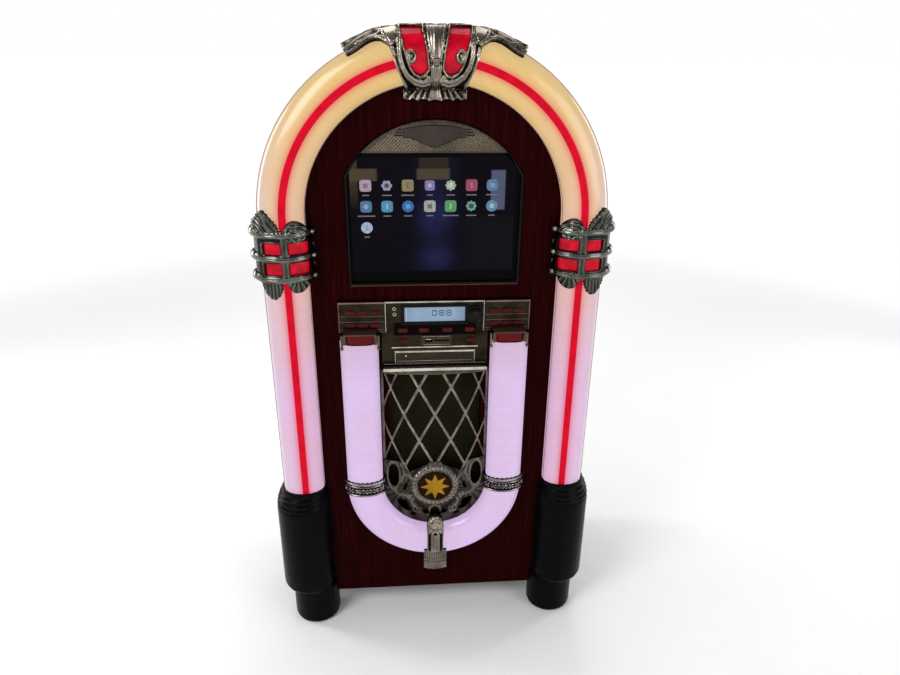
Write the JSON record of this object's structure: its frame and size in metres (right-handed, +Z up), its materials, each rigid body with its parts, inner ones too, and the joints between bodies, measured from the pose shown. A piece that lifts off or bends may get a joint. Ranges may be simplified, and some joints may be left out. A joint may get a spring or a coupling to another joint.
{
  "type": "jukebox",
  "caption": "Floor-standing arched jukebox with light tubes, a touch screen, push keys, a volume knob, a disc drawer, a speaker grille and ribbed boots.",
  "frame": {"origin": "on the floor at the middle of the footprint", "axes": "+Z up, -Y out of the front, +X to the right when it is seen from the front"},
  "size_m": [0.578, 0.3188, 1.0701],
  "materials": {
    "wood": "dark mahogany veneer, satin lacquer",
    "black_board": "black painted board",
    "boot_plastic": "gloss black",
    "arch_diffuser": "warm translucent, lit from inside",
    "column_diffuser": "pinkish translucent, lit from inside",
    "inner_diffuser": "lilac translucent, lit from inside",
    "red_plastic": "clear red",
    "led_board": "white light strip",
    "chromed_plastic": "bright chrome plating on plastic",
    "frame_black": "black",
    "silver_sheet": "bright silver",
    "screen_glass": "dark glass over the display",
    "display_board": "light blue display on its board",
    "steel_sheet": "plain zinc plated",
    "grille_metal": "dark chrome plating on plastic",
    "medallion_gold": "dark red disc with a gold star",
    "grille_cloth": "black speaker cloth on a card",
    "speaker_black": "black",
    "circuit_board": "green board",
    "knob_black": "gloss black",
    "turntable_grey": "grey",
    "nylon": "white nylon",
    "key_red": "red"
  },
  "bodies": {
    "cabinet": {"front_panel": "wood", "cabinet_shell": "wood", "base_plinth": "black_board", "back_panel": "black_board", "left_boot": "boot_plastic", "right_boot": "boot_plastic", "arch_tube": "arch_diffuser", "left_column_tube": "column_diffuser", "right_column_tube": "column_diffuser", "red_stripe": "red_plastic", "outer_led_strip": "led_board", "inner_led_strip": "led_board", "crown": "chromed_plastic", "left_clamp": "chromed_plastic", "right_clamp": "chromed_plastic", "crown_lens": "red_plastic", "left_clamp_lens": "red_plastic", "right_clamp_lens": "red_plastic", "left_head_lens": "red_plastic", "right_head_lens": "red_plastic", "window_frame": "frame_black", "header_plate": "silver_sheet", "touch_screen": "screen_glass", "control_fascia": "chromed_plastic", "display_board": "display_board", "usb_port_plate": "silver_sheet", "cd_drive_housing": "steel_sheet", "inner_tube": "inner_diffuser", "left_collar": "chromed_plastic", "right_collar": "chromed_plastic", "grille_casting": "grille_metal", "medallion": "medallion_gold", "grille_cloth": "grille_cloth", "speaker": "speaker_black", "centre_pendant": "chromed_plastic", "amplifier_board": "circuit_board", "connector_plate": "frame_black"},
    "key_centre_1_1": {"key_centre_1_1": "key_red"},
    "key_centre_1_2": {"key_centre_1_2": "key_red"},
    "key_centre_1_3": {"key_centre_1_3": "key_red"},
    "key_centre_1_4": {"key_centre_1_4": "key_red"},
    "key_centre_2_1": {"key_centre_2_1": "key_red"},
    "key_centre_2_2": {"key_centre_2_2": "key_red"},
    "key_left_1_1": {"key_left_1_1": "key_red"},
    "key_left_1_2": {"key_left_1_2": "key_red"},
    "key_left_1_3": {"key_left_1_3": "key_red"},
    "key_left_2_1": {"key_left_2_1": "key_red"},
    "key_left_2_2": {"key_left_2_2": "key_red"},
    "key_left_2_3": {"key_left_2_3": "key_red"},
    "key_right_1_1": {"key_right_1_1": "key_red"},
    "key_right_1_2": {"key_right_1_2": "key_red"},
    "key_right_1_3": {"key_right_1_3": "key_red"},
    "key_right_2_1": {"key_right_2_1": "key_red"},
    "key_right_2_2": {"key_right_2_2": "key_red"},
    "key_right_2_3": {"key_right_2_3": "key_red"},
    "volume_knob": {"volume_knob": "knob_black"},
    "cd_tray": {"cd_tray": "frame_black"},
    "cd_turntable": {"cd_turntable": "turntable_grey"},
    "tray_pinion": {"tray_pinion": "nylon"},
    "rocker_switch": {"rocker_switch": "red_plastic"}
  },
  "joints": [
    {"name": "key_centre_1_1_push", "type": "slide", "parent": "cabinet", "child": "key_centre_1_1", "axis": [0, 1, 0], "range_m": [0, 0.0012], "stiffness_N_per_m": 300},
    {"name": "key_centre_1_2_push", "type": "slide", "parent": "cabinet", "child": "key_centre_1_2", "axis": [0, 1, 0], "range_m": [0, 0.0012], "stiffness_N_per_m": 300},
    {"name": "key_centre_1_3_push", "type": "slide", "parent": "cabinet", "child": "key_centre_1_3", "axis": [0, 1, 0], "range_m": [0, 0.0012], "stiffness_N_per_m": 300},
    {"name": "key_centre_1_4_push", "type": "slide", "parent": "cabinet", "child": "key_centre_1_4", "axis": [0, 1, 0], "range_m": [0, 0.0012], "stiffness_N_per_m": 300},
    {"name": "key_centre_2_1_push", "type": "slide", "parent": "cabinet", "child": "key_centre_2_1", "axis": [0, 1, 0], "range_m": [0, 0.0012], "stiffness_N_per_m": 300},
    {"name": "key_centre_2_2_push", "type": "slide", "parent": "cabinet", "child": "key_centre_2_2", "axis": [0, 1, 0], "range_m": [0, 0.0012], "stiffness_N_per_m": 300},
    {"name": "key_left_1_1_push", "type": "slide", "parent": "cabinet", "child": "key_left_1_1", "axis": [0, 1, 0], "range_m": [0, 0.0012], "stiffness_N_per_m": 300},
    {"name": "key_left_1_2_push", "type": "slide", "parent": "cabinet", "child": "key_left_1_2", "axis": [0, 1, 0], "range_m": [0, 0.0012], "stiffness_N_per_m": 300},
    {"name": "key_left_1_3_push", "type": "slide", "parent": "cabinet", "child": "key_left_1_3", "axis": [0, 1, 0], "range_m": [0, 0.0012], "stiffness_N_per_m": 300},
    {"name": "key_left_2_1_push", "type": "slide", "parent": "cabinet", "child": "key_left_2_1", "axis": [0, 1, 0], "range_m": [0, 0.0012], "stiffness_N_per_m": 300},
    {"name": "key_left_2_2_push", "type": "slide", "parent": "cabinet", "child": "key_left_2_2", "axis": [0, 1, 0], "range_m": [0, 0.0012], "stiffness_N_per_m": 300},
    {"name": "key_left_2_3_push", "type": "slide", "parent": "cabinet", "child": "key_left_2_3", "axis": [0, 1, 0], "range_m": [0, 0.0012], "stiffness_N_per_m": 300},
    {"name": "key_right_1_1_push", "type": "slide", "parent": "cabinet", "child": "key_right_1_1", "axis": [0, 1, 0], "range_m": [0, 0.0012], "stiffness_N_per_m": 300},
    {"name": "key_right_1_2_push", "type": "slide", "parent": "cabinet", "child": "key_right_1_2", "axis": [0, 1, 0], "range_m": [0, 0.0012], "stiffness_N_per_m": 300},
    {"name": "key_right_1_3_push", "type": "slide", "parent": "cabinet", "child": "key_right_1_3", "axis": [0, 1, 0], "range_m": [0, 0.0012], "stiffness_N_per_m": 300},
    {"name": "key_right_2_1_push", "type": "slide", "parent": "cabinet", "child": "key_right_2_1", "axis": [0, 1, 0], "range_m": [0, 0.0012], "stiffness_N_per_m": 300},
    {"name": "key_right_2_2_push", "type": "slide", "parent": "cabinet", "child": "key_right_2_2", "axis": [0, 1, 0], "range_m": [0, 0.0012], "stiffness_N_per_m": 300},
    {"name": "key_right_2_3_push", "type": "slide", "parent": "cabinet", "child": "key_right_2_3", "axis": [0, 1, 0], "range_m": [0, 0.0012], "stiffness_N_per_m": 300},
    {"name": "volume_turn", "type": "hinge", "parent": "cabinet", "child": "volume_knob", "pos_m": [0.066, -0.12305, 0.631], "axis": [0, 1, 0], "continuous": true},
    {"name": "tray_slide", "type": "slide", "parent": "cabinet", "child": "cd_tray", "axis": [0, -1, 0], "range_m": [0, 0.125]},
    {"name": "pinion_turn", "type": "hinge", "parent": "cabinet", "child": "tray_pinion", "pos_m": [-0.0395, -0.10395, 0.5438], "axis": [0, 0, 1], "range_deg": [-2, 960]},
    {"name": "turntable_spin", "type": "hinge", "parent": "cabinet", "child": "cd_turntable", "pos_m": [0, -0.04445, 0.557], "axis": [0, 0, 1], "continuous": true},
    {"name": "power_rock", "type": "hinge", "parent": "cabinet", "child": "rocker_switch", "pos_m": [0.12, 0.15195, 0.165], "axis": [1, 0, 0], "range_deg": [-22, 0]}
  ],
  "couplings": [
    {"joint": "pinion_turn", "follows": "tray_slide", "rad_per_m": 133.33}
  ]
}
